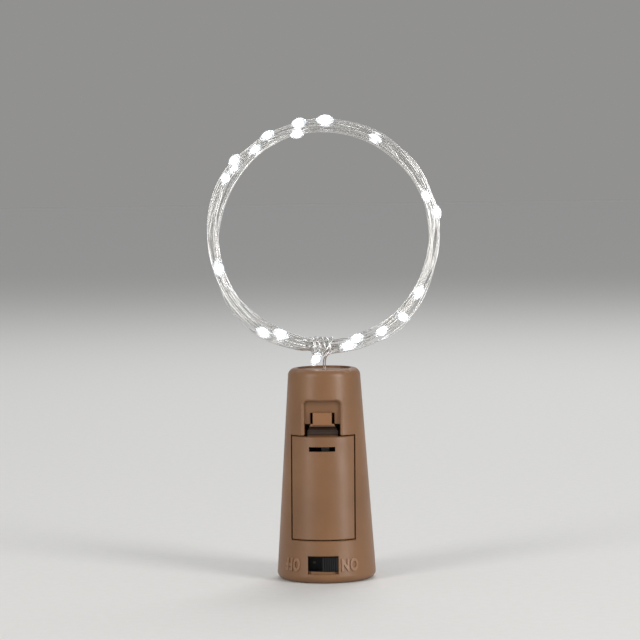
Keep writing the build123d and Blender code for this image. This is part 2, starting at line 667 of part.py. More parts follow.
def layers_climbed(turns):
    """How many layers the winding has climbed towards the rear."""
    climbed = 0.0
    for index in range(1, COIL_LAYERS):
        share = (turns - index * TURNS_PER_LAYER + SPAN) / (2 * SPAN)
        share = min(max(share, 0.0), 1.0)
        climbed += (1 - cos(pi * share)) / 2
    return climbed


def coil_place(turns):
    """Centre line of the ring of wire: piled layers that spiral in and out."""
    radius = COIL_OUTER - COIL_PITCH * turns_inward(turns)
    angle = radians(COIL_START_ANGLE) + 2 * pi * turns
    y = COIL_PITCH * (layers_climbed(turns) - (COIL_LAYERS - 1) / 2)
    return Vector(radius * sin(angle), y, RING_Z - radius * cos(angle))


def wrap_place(turns):
    """Centre line of the wraps that tie the ring at its lowest point."""
    angle = radians(WRAP_START_ANGLE) + 2 * pi * turns
    x = WRAP_START_X + WRAP_PITCH * turns
    return Vector(x, WRAP_RADIUS * cos(angle), BUNDLE_Z + WRAP_RADIUS * sin(angle))


def coil_ends():
    """Where the ring's wire begins and ends, with its direction there."""
    start_way = direction_of(coil_place, 0.0)
    end_way = direction_of(coil_place, COIL_TURNS)
    start = coil_place(0.0) - start_way * WIRE
    end = coil_place(COIL_TURNS) + end_way * WIRE
    return start, start_way, end, end_way


def make_wire_tail():
    """Free stretch of the string from the top of the cork to the ring."""
    start, start_way, _, _ = coil_ends()
    run_in = start - start_way * TAIL_RUN_IN
    climb = run_in.Z - EXIT_Z
    points = [
        (EXIT_X, 0, EXIT_Z),
        (EXIT_X, 0, EXIT_Z + 0.26 * climb),
        (0.15, -0.45, EXIT_Z + 0.54 * climb),
        (0.55, -1.0, EXIT_Z + 0.76 * climb),
        (1.35, -1.5, EXIT_Z + 0.92 * climb),
        tuple(run_in),
        tuple(start),
    ]
    path = route("wire_tail", points)
    tail = swept(path, WIRE)
    check_volume("wire_tail", tail, path, WIRE)
    return tail


def make_wire_coil():
    """The ring: about eleven turns of the string as one unbroken wire."""
    stops = [index * SPAN for index in range(COIL_LAYERS * SPANS_PER_LAYER + 1)]
    edges = with_leads(coil_place, stops, WIRE)
    least_gap("wire_coil", edges, WIRE)
    path = Wire(edges)
    coil = swept(path, WIRE)
    check_volume("wire_coil", coil, path, WIRE)
    return coil


def make_wire_tie():
    """The knot: the string's end wrapped round the ring, down to the hanging bead."""
    _, _, start, start_way = coil_ends()
    stops = [index / SPANS_PER_WRAP for index in range(int(WRAP_TURNS * SPANS_PER_WRAP) + 1)]
    stops.append(WRAP_TURNS)
    wraps, wraps_end, wraps_end_way = wound(wrap_place, stops)
    first_way = direction_of(wrap_place, 0.0)
    lead_in = [Line(start, start + start_way * WIRE).edge()]
    lead_in += biarc(start + start_way * WIRE, start_way, wrap_place(0.0), first_way)
    bead_top = Vector(*HANGING_BEAD)
    bead_way = Vector(*HANGING_DIRECTION).normalized()
    lead_out = biarc(wraps_end, wraps_end_way, bead_top - bead_way * WIRE, bead_way)
    lead_out.append(Line(bead_top - bead_way * WIRE, bead_top).edge())
    edges = lead_in + wraps + lead_out
    least_gap("wire_tie", edges, WIRE)
    path = Wire(edges)
    tie = swept(path, WIRE)
    check_volume("wire_tie", tie, path, WIRE)
    return tie


def bead_plane(turns):
    """Plane across the wire at a bead, with its X axis between outward and forward."""
    angle = radians(COIL_START_ANGLE) + 2 * pi * turns
    outward = Vector(sin(angle), 0, -cos(angle))
    diagonal = outward + Vector(0, -1, 0)
    return Plane(origin=coil_place(turns), x_dir=diagonal, z_dir=direction_of(coil_place, turns))


def wire_bore(turns):
    """Clearance round the wire where it passes a bead."""
    bore = Cylinder(WIRE / 2 + BEAD_GAP, BEAD_LENGTH + OVERRUN)
    return bead_plane(turns).location * bore


def bead_body():
    """One drop of clear resin along Z: an ellipse turned about the wire."""
    half = Ellipse(BEAD_RADIUS, BEAD_LENGTH / 2)
    half &= Pos(BEAD_RADIUS, 0) * Rectangle(2 * BEAD_RADIUS, BEAD_LENGTH)
    return revolve(Plane.XZ * half, Axis.Z)


def chip_body(gap):
    """Light chip that lies on the wire, or its pocket when a gap is added."""
    sizes = (CHIP_THICKNESS + gap, CHIP_WIDTH + 2 * gap, CHIP_LENGTH + 2 * gap)
    chip = Box(*sizes, align=(Align.MIN, Align.CENTER, Align.CENTER))
    return Pos(WIRE / 2 + CHIP_GAP, 0, 0) * chip


def make_bead(turns):
    """Bead on the ring, grooved where neighbouring turns pass it."""
    bead = bead_plane(turns).location * (bead_body() - chip_body(BEAD_GAP))
    centre = coil_place(turns)
    for whole_turns in range(-int(COIL_TURNS), int(COIL_TURNS) + 1):
        other = turns + whole_turns
        if 0 <= other <= COIL_TURNS and (coil_place(other) - centre).length < BEAD_RADIUS + WIRE:
            bead -= wire_bore(other)
    return bead


def hanging_plane():
    """Plane across the wire at the middle of the hanging bead."""
    way = Vector(*HANGING_DIRECTION).normalized()
    origin = Vector(*HANGING_BEAD) + way * (BEAD_LENGTH / 2 - WIRE)
    return Plane(origin=origin, x_dir=Vector(0, -1, 0), z_dir=way)


def make_hanging_bead():
    """Last bead of the string, which hangs from the knot."""
    place = hanging_plane().location
    socket = Pos(0, 0, WIRE - BEAD_LENGTH) * Cylinder(WIRE / 2 + BEAD_GAP, BEAD_LENGTH / 2, align=UPRIGHT)
    return place * (bead_body() - chip_body(BEAD_GAP) - socket)


def make_chips(planes):
    """Light chips of all beads."""
    chips = Part()
    for plane in planes:
        chips += plane.location * chip_body(0)
    return chips


def lead_routes():
    """Routes of the three leads inside the cork, from the string to the contacts and the board."""
    glue_low = CAVITY_TOP - GLUE_DEPTH
    plus_y = TAB_Y + PLATE + LEAD_WIRE / 2
    plus_low = TRAY_TOP_HIGH + TAB_LENGTH / 2
    plus_head = glue_low - plus_low
    head = glue_low - TRAY_TOP_HIGH
    hole_x, hole_y = LEAD_HOLE_PLACE
    tab_z = TRAY_FLOOR_LOW - TAB_LENGTH / 4
    return {
        "positive_lead": [
            (0.9, 0.6, glue_low), (0.9, 0.6, glue_low - 0.145 * plus_head),
            (0.5, 1.3, glue_low - 0.37 * plus_head), (-0.3, 2.1, glue_low - 0.59 * plus_head),
            (-0.1, plus_y, glue_low - 0.78 * plus_head), (-0.1, plus_y, plus_low),
        ],
        "string_lead": [
            (-0.9, 0.6, glue_low), (-0.9, 0.6, glue_low - 0.14 * head),
            (-1.5, 3.0, glue_low - 0.42 * head), (-2.5, 6.5, glue_low - 0.82 * head),
            (-2.2, 6.9, CELLS_HIGH - 4.2), (-2.6, 6.6, CELLS_LOW + 2.5),
            (hole_x, hole_y, TRAY_FLOOR_TOP + 1.8), (hole_x, hole_y, TRAY_FLOOR_LOW - 0.5),
            (-2.9, 5.0, SWITCH_Z + 0.1), (-3.3, 1.6, SWITCH_Z - 0.9),
            (-3.5, BOARD_BACK + 3.5, SWITCH_Z - 0.6), (-3.5, BOARD_BACK, SWITCH_Z - 0.6),
        ],
        "board_lead": [
            (0.3, TAB_Y, tab_z), (0.3, TAB_Y - 1.3, tab_z), (0.7, TAB_Y - 3.2, tab_z - 0.35),
            (0.5, BOARD_BACK + 1.8, tab_z - 0.8), (0.5, BOARD_BACK, tab_z - 0.8),
        ],
    }


def make_leads():
    """The three leads, as a name and a solid each."""
    for name, points in lead_routes().items():
        path = route(name, points)
        lead = swept(path, LEAD_WIRE)
        check_volume(name, lead, path, LEAD_WIRE)
        yield name, lead


def main():
    """Write every sub-part."""
    os.makedirs("parts", exist_ok=True)
    save("housing", make_housing())
    save("base_cap", make_base_cap())
    save("battery_tray", make_battery_tray())
    save("battery_cover", make_battery_cover())
    save("cover_latch", make_cover_latch())
    for index in range(CELL_COUNT):
        low = CELLS_LOW + index * CELL_HEIGHT
        save(f"cell_{index + 1}_can", make_cell_can(low))
        save(f"cell_{index + 1}_gasket", make_cell_gasket(low))
        save(f"cell_{index + 1}_cap", make_cell_cap(low))
    save("negative_plate", make_negative_plate())
    save("negative_spring", make_negative_spring())
    save("positive_contact", make_positive_contact())
    save("circuit_board", make_circuit_board())
    save("resistor", make_resistor())
    save("switch_body", make_switch_body())
    save("switch_slider", make_switch_slider())
    save("switch_wiper", make_switch_wiper())
    save("switch_pins", make_switch_pins())
    save("wire_glue", make_wire_glue())
    for name, lead in make_leads():
        save(name, lead)
    save("wire_tail", make_wire_tail())
    save("wire_coil", make_wire_coil())
    save("wire_tie", make_wire_tie())
    bead_turns = [(angle - COIL_START_ANGLE) / 360 for angle in BEAD_ANGLES]
    for index, turns in enumerate(bead_turns):
        save(f"light_bead_{index + 1:02d}", make_bead(turns))
    save(f"light_bead_{len(bead_turns) + 1:02d}", make_hanging_bead())
    save("light_chips", make_chips([bead_plane(turns) for turns in bead_turns] + [hanging_plane()]))


main()
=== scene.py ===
import json
import random
from math import cos, exp, pi, radians, sin, sqrt

import bmesh
import bpy
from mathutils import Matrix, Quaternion, Vector


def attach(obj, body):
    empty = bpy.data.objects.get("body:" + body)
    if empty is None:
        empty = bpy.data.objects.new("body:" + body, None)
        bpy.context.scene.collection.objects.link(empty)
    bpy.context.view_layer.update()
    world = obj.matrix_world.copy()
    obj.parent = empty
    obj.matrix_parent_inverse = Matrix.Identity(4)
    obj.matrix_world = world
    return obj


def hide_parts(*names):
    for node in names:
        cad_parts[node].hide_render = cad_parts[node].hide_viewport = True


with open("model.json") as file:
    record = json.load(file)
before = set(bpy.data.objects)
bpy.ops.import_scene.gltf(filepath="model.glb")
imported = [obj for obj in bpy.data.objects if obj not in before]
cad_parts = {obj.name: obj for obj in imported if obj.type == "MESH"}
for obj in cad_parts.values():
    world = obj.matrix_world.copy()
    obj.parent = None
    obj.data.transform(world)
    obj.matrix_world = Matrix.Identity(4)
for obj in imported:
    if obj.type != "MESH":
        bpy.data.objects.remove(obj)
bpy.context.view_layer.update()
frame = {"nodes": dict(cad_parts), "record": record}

MM = 0.001
SEED = 11
random.seed(SEED)

# Cork sizes in millimetres, the same as the solids'
BODY_HEIGHT = 54.0
BASE_RADIUS = 12.75
TOP_RADIUS = 9.15

# String in millimetres and degrees: a ring of about eleven turns in four layers, tied at its foot.
# The ring has a middle radius and an outermost one, and angles on it count from its foot.
EXIT = Vector((0.1, 0.0, 53.3))
TURNS = 10.94
LAYERS = 4
TURNS_PER_LAYER = TURNS / LAYERS
PITCH = 1.2
START_ANGLE = 8.0
RING_RADIUS = 28.2
RING_OUTER = 29.84
RING_X = 0.2
RING_Z = 87.69
BUNDLE_Z = RING_Z - RING_RADIUS
POINTS_PER_TURN = 24
# The spline runs inside its control points, so they stand this much farther out
SPLINE_GAIN = 2 / (1 + cos(pi / POINTS_PER_TURN) ** 2)

# Layers of the ring, in turns: where the string softly turns back, and how long it takes to the next layer
LAYER_EDGE = 0.25
LAYER_STEP = 0.5

# Unevenness of the ring: slow waves, with their number in a turn, weights and sizes in millimetres,
# and the turns over which they come and go at the ring's ends
WAVE_COUNT = 9
WAVE_RATES = 0.4, 3.4
WAVE_WEIGHTS = 0.6, 1.0
WAVE_ACROSS = 0.40
WAVE_DEEP = 0.36
EASE_IN = 0.15
EASE_OUT = 0.12

# Each bead as its angle along the ring's turns and its distance from the ring's middle
BEADS = [
    (191, 29.6), (392, 28.5), (589, 30.1), (822, 29.7), (1007, 28.5), (1231, 28.9), (1417, 27.0),
    (1633, 26.2), (1818, 26.2), (2008, 28.8), (2205, 28.4), (2399, 28.8), (2630, 28.3), (2847, 29.4),
    (3058, 29.5), (3252, 29.0), (3457, 27.6), (3659, 28.2), (3832, 28.2),
]
# How the string is drawn to each bead's place: share of the way, spread in turns, and depth before the ring
BEAD_PULL_SHARE = 0.85
BEAD_PULL_SPREAD = 0.035
BEAD_DEPTH = -2.0

# Loose places: turn count, spread in turns, change of radius
LOOSE = [
    (0.09, 0.05, 1.7), (0.25, 0.035, 0.6), (0.40, 0.05, 0.7), (0.64, 0.05, 1.0), (0.73, 0.03, 0.5),
    (5.09, 0.055, 1.6), (5.53, 0.04, 0.4), (5.32, 0.04, 0.9), (10.60, 0.04, 0.9), (10.87, 0.04, 1.3),
    (2.63, 0.06, -0.8), (8.36, 0.05, -0.7), (8.05, 0.04, -0.6), (2.9, 0.05, -0.4), (5.86, 0.05, 1.3),
]
# Places where the ring is drawn in: angle from its foot, spread in degrees, share taken off
GATHERED = [
    (0.0, 9.0, 0.30), (38.0, 13.0, 0.30), (-70.0, 14.0, 0.20), (150.0, 25.0, 0.12), (-150.0, 20.0, 0.10),
]
# Places where the string passes once round the ring: turn count at the start, length in turns.
# The ring's other points keep a margin in turns from them, and the string swells out midway.
PASSES = [(4.782, 0.03), (10.083, 0.03)]
PASS_POINTS = 10
PASS_MARGIN = 0.004
PASS_SWELL_SHARE = 0.25
PASS_SWELL_SPREAD = 0.7

# Knot round the ring's foot: windings that start at its left and lean
KNOT_TURNS = 4.45
KNOT_START_ANGLE = -35
KNOT_RADIUS = 2.2
KNOT_PITCH = 1.28
KNOT_LEFT = -3.7
KNOT_LEAN = 0.95
KNOT_POINTS_PER_TURN = 12

# Last bead, which hangs at the knot, and how far its middle lies along its way
HANGING_BEAD = Vector((-1.1, -3.3, 57.4))
HANGING_WAY = Vector((-0.55, -0.12, -0.83)).normalized()
HANGING_SHIFT = 1.2

# Route from the cork's top to the ring, and from the knot to the string's end
TAIL = [
    EXIT, EXIT + Vector((0, 0, 1.2)), Vector((0.15, -0.45, 55.78)), Vector((0.45, -1.0, 56.8)),
    Vector((1.15, -1.5, 57.55)), Vector((2.5, -1.75, 57.9)),
]
LAST_RUN = [
    Vector((1.3, -2.6, BUNDLE_Z - 0.3)), Vector((0.1, -2.9, BUNDLE_Z - 1.2)),
    HANGING_BEAD - HANGING_WAY, HANGING_BEAD + HANGING_WAY, HANGING_BEAD + HANGING_WAY * 1.6,
]
ROUTE_STEPS = 8

# The string's two wires in millimetres: their radius and their distance from the route, which wavers
STRAND_SIDES = 6
STRAND_RADIUS = 0.15
STRAND_APART = 0.21
# Wavering of that distance: size in millimetres, radians for each point of the route
APART_WAVES = [(0.06, 0.037), (0.03, 0.0113)]
# Turning of the wires round each other: radians for each millimetre, its change, radians for each point
SPIN_RATE = 0.16
SPIN_CHANGE = 0.12
SPIN_WAVE = 0.021

# Light beads in millimetres: their radii and lengths lie between two values, and a few beads are larger.
# A bead is blunt, a little thicker at one end and not quite round.
BEAD_RADII = 1.16, 1.32
BEAD_LENGTHS = 4.0, 4.6
LARGE_BEADS = 5, 7, 15, 16
LARGE_BEAD_RADIUS = 1.45
LARGE_BEAD_LENGTH = 5.0
BEAD_SIDES = 20
BEAD_RINGS = 14
BEAD_FULLNESS = 0.72
BEAD_TAPER_SHARE = 0.10
BEAD_UNEVEN_SHARE = 0.05
CORE_SHARE = 0.5
CORE_SIDES = 12
CORE_RINGS = 8

# Raised words: text, name of the piece, degrees round the cork from its front; heights in millimetres
WORDS = [("OFF", "word_off", -50.5, -28.3), ("ON", "word_on", 22.0, 43.7)]
WORD_LOW = 3.0
WORD_HIGH = 6.3
WORD_SUNK = 0.10
WORD_THICKNESS = 0.38
# Letters in the text's own units
LETTER_DEPTH = 0.16
LETTER_BEVEL = 0.02
LETTER_WEIGHT = 0.029
LETTER_SPACING = 1.15
LETTER_MERGE = 0.0005
LETTER_EDGE = 0.09
LETTER_SPLITS = 3

# Heights in millimetres over which the latch's bend falls into shadow, and its tone there
COVER_SHADE = 37.08, 37.35
LATCH_SHADE = 40.05, 39.55
SHADE_TONE = 0.032, 0.017, 0.010

# Part of a noise's values over which a tone changes, and the scales of the noises in a surface
NOISE_SPREAD = 0.3, 0.7
MOULDED_SPREAD = 0.32, 0.68
METAL_SPREAD = 0.35, 0.65
SHADE_SCALE = 70
GLOSS_SCALE = 260
GRAIN_SCALE = 900
GRAIN_STRENGTH = 0.25
GRAIN_DEPTH = 0.00004
COAT_ROUGHNESS = 0.25
STAIN_SCALE = 300
STREAK_GAIN = 3
WHITE = 1.0, 1.0, 1.0

# Camera in metres and degrees
LENS = 154
SENSOR_WIDTH = 36
CLIP = 0.01, 20
CAMERA_AZIMUTH = 4.5
CAMERA_DISTANCE = 0.70
CAMERA_HEIGHT = 0.107
CAMERA_ASIDE = -0.00025
CAMERA_ROLL = -0.8
CAMERA_TARGET = Vector((-0.00085, 0, 0.0662))

# Floor in metres, a hair below the cork
FLOOR_RADIUS = 6.0
FLOOR_SIDES = 96
FLOOR_Z = -0.00005

# Soft boxes: name, azimuth in degrees, distance, height, width and length in metres, watts, tint
SOFT_BOXES = [
    ("soft_left", -42, 0.9, 0.42, 0.30, 0.8, 4.2, (1.0, 0.97, 0.93)),
    ("soft_right", 52, 1.0, 0.40, 0.35, 0.8, 7.5, (1.0, 0.98, 0.97)),
    ("soft_top", 170, 0.8, 0.95, 0.7, 0.5, 5.5, (0.97, 0.98, 1.0)),
]
LIGHT_TARGET = Vector((0, 0, 0.06))
ROOM_TONE = 0.40, 0.403, 0.406, 1
BACKDROP_TONE = 0.285, 0.283, 0.278, 1


def outer_radius(height):
    """Radius of the cork's tapered side at a height."""
    return BASE_RADIUS + (TOP_RADIUS - BASE_RADIUS) * height / BODY_HEIGHT


def bell(distance, spread):
    """1 at no distance, falling off on both sides."""
    return exp(-(distance / spread) ** 2)


def smooth(share):
    """Share from 0 to 1 with soft ends."""
    share = min(max(share, 0.0), 1.0)
    return share * share * (3 - 2 * share)


def random_waves():
    """Slow waves: how many to a turn, where each starts and its weight."""
    return [
        (random.uniform(*WAVE_RATES), random.uniform(0, 2 * pi), random.uniform(*WAVE_WEIGHTS))
        for _ in range(WAVE_COUNT)
    ]


def wave(turns, waves, size):
    """Sum of slow waves at a number of turns."""
    total = sum(weight * sin(2 * pi * rate * turns + start) for rate, start, weight in waves)
    return size * total / sqrt(len(waves))


# The waves are drawn before the beads' sizes
ACROSS_WAVES = random_waves()
DEEP_WAVES = random_waves()


def link(piece):
    """Put an object into the scene."""
    bpy.context.scene.collection.objects.link(piece)
    return piece


def new_object(name, mesh, material):
    """Piece from a mesh, with its material."""
    mesh.materials.append(material)
    return link(bpy.data.objects.new(name, mesh))


def smooth_piece(name, verts, faces, material):
    """Smoothly shaded piece from points and faces."""
    mesh = bpy.data.meshes.new(name)
    mesh.from_pydata(verts, [], faces)
    mesh.shade_smooth()
    return new_object(name, mesh, material)


def ring_faces(first, sides, rings):
    """Faces between neighbouring rings of points."""
    faces = []
    for ring in range(rings - 1):
        low = first + ring * sides
        high = low + sides
        for side in range(sides):
            after = (side + 1) % sides
            faces.append((low + side, low + after, high + after, high + side))
    return faces


# Camera
def make_camera():
    """Long lens from the front, a little to the right."""
    data = bpy.data.cameras.new("camera")
    data.lens = LENS
    data.sensor_width = SENSOR_WIDTH
    data.clip_start, data.clip_end = CLIP
    camera = link(bpy.data.objects.new("camera", data))
    azimuth = radians(CAMERA_AZIMUTH)
    across = sin(azimuth) * CAMERA_DISTANCE + CAMERA_ASIDE
    place = Vector((across, -cos(azimuth) * CAMERA_DISTANCE, CAMERA_HEIGHT))
    turn = (CAMERA_TARGET - place).to_track_quat("-Z", "Y")
    roll = Quaternion((0, 0, 1), radians(CAMERA_ROLL))
    camera.rotation_mode = "QUATERNION"
    camera.rotation_quaternion = turn @ roll
    camera.location = place
    bpy.context.scene.camera = camera


# String
def turned_back(reach):
    """Distance from a layer's edge, in turns, kept off zero so that the string turns back softly."""
    if reach < LAYER_EDGE:
        return sqrt(reach ** 2 + LAYER_EDGE ** 2 / 4)
    return reach


def layer_place(turns):
    """Distance from the ring's middle and depth of the string, in even layers."""
    reach = turns % (2 * TURNS_PER_LAYER)
    inward = turned_back(min(reach, 2 * TURNS_PER_LAYER - reach))
    inward = TURNS_PER_LAYER - turned_back(TURNS_PER_LAYER - inward)
    depth = -PITCH * (LAYERS - 1) / 2
    for index in range(1, LAYERS):
        depth += PITCH * smooth((turns - index * TURNS_PER_LAYER) / LAYER_STEP + 0.5)
    return RING_OUTER - PITCH * inward, depth


def passed_round(turns, aside, depth):
    """Place of the string within the bundle, carried once round it at each pass."""
    for start, length in PASSES:
        share = (turns - start) / length
        spin = 2 * pi * smooth(share)
        swell = 1 + PASS_SWELL_SHARE * bell(share - 0.5, PASS_SWELL_SPREAD)
        aside, depth = (
            swell * (aside * cos(spin) - depth * sin(spin)),
            swell * (aside * sin(spin) + depth * cos(spin)),
        )
    return aside, depth


def gathered_share(turns):
    """Share of the bundle's thickness that is left where the ring is drawn in."""
    from_foot = (turns * 360 + START_ANGLE + 180) % 360 - 180
    share_left = 1.0
    for place, spread, share in GATHERED:
        share_left *= 1 - share * bell(from_foot - place, spread)
    return share_left


def bead_turns(angle):
    """Number of turns at a bead's angle."""
    return (angle - START_ANGLE) / 360


def ring_point(turns):
    """Control point of the ring at a number of turns."""
    radius, depth = layer_place(turns)
    ease = smooth(turns / EASE_IN) * smooth((TURNS - turns) / EASE_OUT)
    aside = radius - RING_RADIUS + ease * wave(turns, ACROSS_WAVES, WAVE_ACROSS)
    depth += ease * wave(turns, DEEP_WAVES, WAVE_DEEP)
    aside, depth = passed_round(turns, aside, depth)
    share_left = gathered_share(turns)
    aside *= share_left
    depth *= share_left
    for place, spread, change in LOOSE:
        aside += change * bell(turns - place, spread)
    for bead_angle, bead_distance in BEADS:
        pull = BEAD_PULL_SHARE * bell(turns - bead_turns(bead_angle), BEAD_PULL_SPREAD)
        aside += pull * (bead_distance - RING_RADIUS - aside)
        depth += pull * (BEAD_DEPTH - depth)
    angle = radians(START_ANGLE) + 2 * pi * turns
    distance = (RING_RADIUS + aside) * SPLINE_GAIN
    return Vector((RING_X + distance * sin(angle), depth, RING_Z - distance * cos(angle)))


def ring_stops():
    """Numbers of turns at which the ring has its control points, closer together at a pass."""
    stops = [index / POINTS_PER_TURN for index in range(1, int(TURNS * POINTS_PER_TURN) + 1)]
    for start, length in PASSES:
        low, high = start - PASS_MARGIN, start + length + PASS_MARGIN
        stops = [stop for stop in stops if not low < stop < high]
        stops += [start + length * index / PASS_POINTS for index in range(PASS_POINTS + 1)]
    return sorted(stops)


def knot_points():
    """Control points of the windings round the ring's foot."""
    points = []
    for index in range(int(KNOT_TURNS * KNOT_POINTS_PER_TURN) + 1):
        turns = index / KNOT_POINTS_PER_TURN
        angle = radians(KNOT_START_ANGLE) + 2 * pi * turns
        across = KNOT_LEFT + KNOT_PITCH * turns - KNOT_LEAN * cos(angle)
        height = BUNDLE_Z + KNOT_RADIUS * sin(angle)
        points.append(Vector((across, KNOT_RADIUS * cos(angle), height)))
    return points


def route_points():
    """Control points of the whole string, in millimetres."""
    return TAIL + [ring_point(stop) for stop in ring_stops()] + knot_points() + LAST_RUN


def spline_path(points):
    """Points read from a NURBS spline through control points, in metres."""
    data = bpy.data.curves.new("route", "CURVE")
    data.dimensions = "3D"
    data.resolution_u = ROUTE_STEPS
    spline = data.splines.new("NURBS")
    spline.points.add(len(points) - 1)
    for point, place in zip(spline.points, points):
        point.co = (*(place * MM), 1.0)
    spline.order_u = 3
    spline.use_endpoint_u = True
    holder = link(bpy.data.objects.new("route", data))
    mesh = bpy.data.meshes.new_from_object(holder)
    path = [vertex.co.copy() for vertex in mesh.vertices]
    bpy.data.objects.remove(holder)
    bpy.data.curves.remove(data)
    bpy.data.meshes.remove(mesh)
    return path


def crossings_along(path):
    """Two directions square to the path at each point, with no twist of their own."""
    across = Vector((1, 0, 0))
    crossings = []
    for index in range(len(path)):
        before, after = path[max(index - 1, 0)], path[min(index + 1, len(path) - 1)]
        way = (after - before).normalized()
        across = (across - way * across.dot(way)).normalized()
        crossings.append((across, way.cross(across)))
    return crossings


def strand_points(path, crossings, spin):
    """Rings of points round one wire, which starts at an angle beside the path."""
    verts = []
    for index, (place, (across, up)) in enumerate(zip(path, crossings)):
        if index:
            step = (place - path[index - 1]).length / MM
            spin += step * (SPIN_RATE + SPIN_CHANGE * sin(index * SPIN_WAVE))
        apart = STRAND_APART + sum(size * sin(index * rate) for size, rate in APART_WAVES)
        centre = place + (across * cos(spin) + up * sin(spin)) * apart * MM
        for side in range(STRAND_SIDES):
            angle = 2 * pi * side / STRAND_SIDES
            verts.append(centre + (across * cos(angle) + up * sin(angle)) * STRAND_RADIUS * MM)
    return verts


def make_string(path, material):
    """Two thin wires that lie side by side and turn slowly round each other."""
    crossings = crossings_along(path)
    verts, faces = [], []
    for strand in (0, 1):
        first = len(verts)
        verts += strand_points(path, crossings, strand * pi)
        faces += ring_faces(first, STRAND_SIDES, len(path))
        faces.append(tuple(first + side for side in reversed(range(STRAND_SIDES))))
        faces.append(tuple(len(verts) - STRAND_SIDES + side for side in range(STRAND_SIDES)))
    return smooth_piece("light_string", verts, faces, material)


# Beads
def drop_share(share):
    """Radius of a bead along its length, as a share of its largest."""
    return sin(pi * share) ** BEAD_FULLNESS * (1 + BEAD_TAPER_SHARE * (0.5 - share))


def make_drop(name, radius, length, place, way, sides, rings, uneven, material):
    """Closed drop along a direction."""
    turn = way.to_track_quat("Z", "Y").to_matrix()
    verts = []
    for ring in range(1, rings):
        share = ring / rings
        for side in range(sides):
            angle = 2 * pi * side / sides
            here = radius * drop_share(share) * (1 + uneven * sin(2 * angle + 3 * share))
            local = Vector((here * cos(angle), here * sin(angle), length * (share - 0.5)))
            verts.append(place + turn @ local)
    faces = ring_faces(0, sides, rings - 1)
    top = (rings - 2) * sides
    first, last = len(verts), len(verts) + 1
    half = turn @ Vector((0, 0, length / 2))
    verts += [place - half, place + half]
    for side in range(sides):
        after = (side + 1) % sides
        faces.append((first, after, side))
        faces.append((last, top + side, top + after))
    return smooth_piece(name, verts, faces, material)


def bead_places(path):
    """Middle and direction of each bead on the path."""
    places = []
    for angle, _ in BEADS:
        wanted = ring_point(bead_turns(angle)) * MM
        index = min(range(len(path)), key=lambda point: (path[point] - wanted).length)
        places.append((path[index], (path[index + 2] - path[index - 2]).normalized()))
    places.append(((HANGING_BEAD + HANGING_WAY * HANGING_SHIFT) * MM, HANGING_WAY))
    return places


def make_beads(path, resin, glow):
    """Clear drops on the string, with a lit core in each."""
    shells, cores = [], []
    for number, (place, way) in enumerate(bead_places(path), 1):
        radius = random.uniform(*BEAD_RADII)
        length = random.uniform(*BEAD_LENGTHS)
        if number in LARGE_BEADS:
            radius, length = LARGE_BEAD_RADIUS, LARGE_BEAD_LENGTH
        shells.append(make_drop(f"bead_{number:02d}", radius * MM, length * MM, place, way,
                                BEAD_SIDES, BEAD_RINGS, BEAD_UNEVEN_SHARE, resin))
        cores.append(make_drop(f"core_{number:02d}", radius * CORE_SHARE * MM, length * CORE_SHARE * MM,
                               place, way, CORE_SIDES, CORE_RINGS, 0.0, glow))
    return shells, joined(cores, "bead_cores", glow)


def joined(pieces, name, material):
    """One piece from several."""
    builder = bmesh.new()
    for piece in pieces:
        builder.from_mesh(piece.data)
        bpy.data.objects.remove(piece)
    mesh = bpy.data.meshes.new(name)
    builder.to_mesh(mesh)
    builder.free()
    mesh.shade_smooth()
    return new_object(name, mesh, material)


# Words
def text_mesh(word, name):
    """Mesh of a word in thick letters, in the text's own units."""
    data = bpy.data.curves.new(name, "FONT")
    data.body = word
    data.extrude = LETTER_DEPTH
    data.bevel_depth = LETTER_BEVEL
    data.bevel_resolution = 1
    data.offset = LETTER_WEIGHT
    data.space_character = LETTER_SPACING
    holder = link(bpy.data.objects.new(name + "_text", data))
    bpy.context.view_layer.update()
    mesh = bpy.data.meshes.new_from_object(holder)
    bpy.data.objects.remove(holder)
    return mesh


def split_long_edges(builder):
    """Make a mesh fine enough to be bent."""
    bmesh.ops.remove_doubles(builder, verts=builder.verts, dist=LETTER_MERGE)
    for _ in range(LETTER_SPLITS):
        bmesh.ops.triangulate(builder, faces=builder.faces)
        long_edges = [edge for edge in builder.edges if edge.calc_length() > LETTER_EDGE]
        bmesh.ops.subdivide_edges(builder, edges=long_edges, cuts=1)
    bmesh.ops.triangulate(builder, faces=builder.faces)


def make_word(word, name, angle_from, angle_to, material):
    """Raised word on the cork's surface, upside down as on the object."""
    mesh = text_mesh(word, name)
    builder = bmesh.new()
    builder.from_mesh(mesh)
    split_long_edges(builder)
    columns = list(zip(*(vert.co for vert in builder.verts)))
    reaches = [(min(column), max(column)) for column in columns]
    for vert in builder.verts:
        across, upward, raised = (
            (value - low) / (high - low) for value, (low, high) in zip(vert.co, reaches)
        )
        angle = radians(angle_to + (angle_from - angle_to) * across)
        height = WORD_HIGH + (WORD_LOW - WORD_HIGH) * upward
        distance = outer_radius(height) - WORD_SUNK + WORD_THICKNESS * raised
        vert.co = Vector((distance * sin(angle), -distance * cos(angle), height)) * MM
    bmesh.ops.recalc_face_normals(builder, faces=builder.faces)
    builder.to_mesh(mesh)
    builder.free()
    return new_object(name, mesh, material)


# Materials
def new_material(name):
    """Material with one shader, its nodes and that shader."""
    material = bpy.data.materials.new(name)
    material.use_nodes = True
    tree = material.node_tree
    tree.nodes.clear()
    shader = tree.nodes.new("ShaderNodeBsdfPrincipled")
    output = tree.nodes.new("ShaderNodeOutputMaterial")
    tree.links.new(shader.outputs[0], output.inputs[0])
    return material, tree, shader


